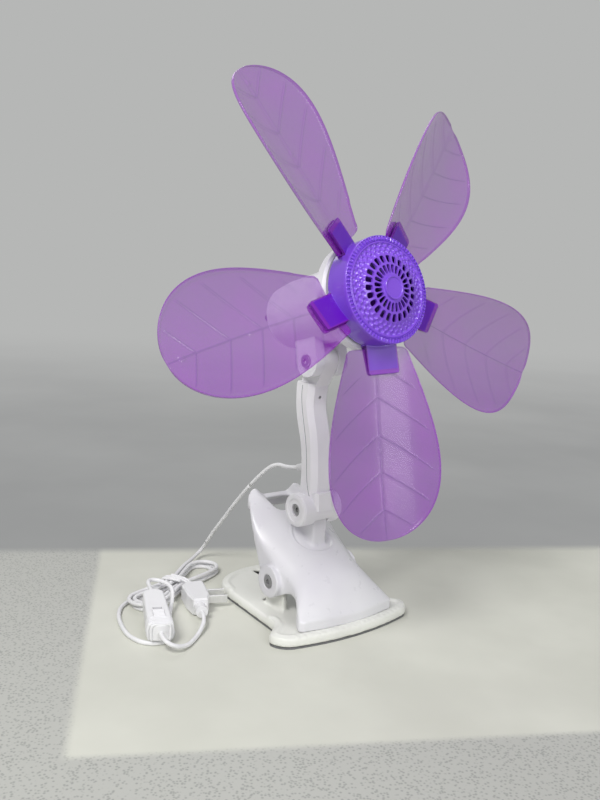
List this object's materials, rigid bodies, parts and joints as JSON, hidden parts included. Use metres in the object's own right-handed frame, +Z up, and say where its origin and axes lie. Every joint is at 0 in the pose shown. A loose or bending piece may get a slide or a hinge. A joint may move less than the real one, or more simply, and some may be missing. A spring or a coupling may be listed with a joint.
{
  "type": "clip fan",
  "caption": "Clip-on desk fan: sprung clip with a flat foot, tilting arm, tilting motor head, and a soft bladed rotor with a perforated cap; corded, with an in-line switch and plug.",
  "frame": {"origin": "on the underside of the foot, on the symmetry plane, below the clip's throat", "axes": "+X sideways, -Y the way the fan faces, +Z up"},
  "size_m": [0.3294, 0.2424, 0.3951],
  "materials": {
    "white_casing": "semi-gloss moulded",
    "grip_rubber": "matte soft",
    "bright_steel": "zinc plated",
    "plug_metal": "nickel plated",
    "motor_iron": "laminated, oiled",
    "winding_copper": "enamelled wire",
    "bronze_bush": "sintered",
    "lilac_blade": "soft translucent",
    "violet_hub": "gloss moulded",
    "violet_cap": "gloss moulded",
    "white_cord": "soft satin sheath",
    "white_fitting": "semi-gloss moulded"
  },
  "bodies": {
    "base": {"base_plate": "white_casing", "base_pad": "grip_rubber", "pivot_pin": "bright_steel", "pivot_nut": "bright_steel", "jaw_spring": "bright_steel", "cord_lead": "white_cord", "cord_hank": "white_cord", "cord_loop": "white_cord", "cord_tie": "white_cord", "cord_tail": "white_cord", "switch_top": "white_fitting", "switch_bottom": "white_fitting", "plug_body": "white_fitting", "plug_pins": "plug_metal"},
    "switch_knob": {"switch_slider": "white_fitting"},
    "upper_jaw": {"jaw_shell": "white_casing", "jaw_grip": "grip_rubber"},
    "arm": {"arm_front": "white_casing", "arm_cover": "white_casing", "arm_screws": "bright_steel", "cord_gland": "white_cord", "lower_screw": "bright_steel", "lower_nut": "bright_steel"},
    "head": {"housing_front": "white_casing", "housing_rear": "white_casing", "motor_screws": "bright_steel", "stator": "motor_iron", "stator_coils": "winding_copper", "bush_front": "bronze_bush", "bush_rear": "bronze_bush", "upper_screw": "bright_steel", "upper_nut": "bright_steel"},
    "rotor": {"shaft": "bright_steel", "rotor_core": "motor_iron", "blade_1": "lilac_blade", "blade_2": "lilac_blade", "blade_3": "lilac_blade", "blade_4": "lilac_blade", "blade_5": "lilac_blade", "hub_shell": "violet_hub", "hub_screw": "bright_steel", "front_cap": "violet_cap"}
  },
  "joints": [
    {"name": "jaw_open", "type": "hinge", "parent": "base", "child": "upper_jaw", "pos_m": [0, 0.0063, 0.0295], "axis": [-1, 0, 0], "range_deg": [0, 25], "stiffness_Nm_per_rad": 2, "springref_deg": -34.38, "deforming": ["jaw_spring", "cord_lead"]},
    {"name": "arm_tilt", "type": "hinge", "parent": "upper_jaw", "child": "arm", "pos_m": [0, 0.005, 0.083], "axis": [-1, 0, 0], "range_deg": [-12, 35], "deforming": ["cord_lead"]},
    {"name": "head_tilt", "type": "hinge", "parent": "arm", "child": "head", "pos_m": [0, 0.005, 0.1975], "axis": [-1, 0, 0], "range_deg": [-20, 25]},
    {"name": "rotor_spin", "type": "hinge", "parent": "head", "child": "rotor", "pos_m": [0, -0.04659, 0.25082], "axis": [0, -0.9681, 0.2504], "continuous": true},
    {"name": "switch_slide", "type": "slide", "parent": "base", "child": "switch_knob", "axis": [0.3674, 0.9272, 0.0735], "range_m": [0, 0.005]}
  ]
}
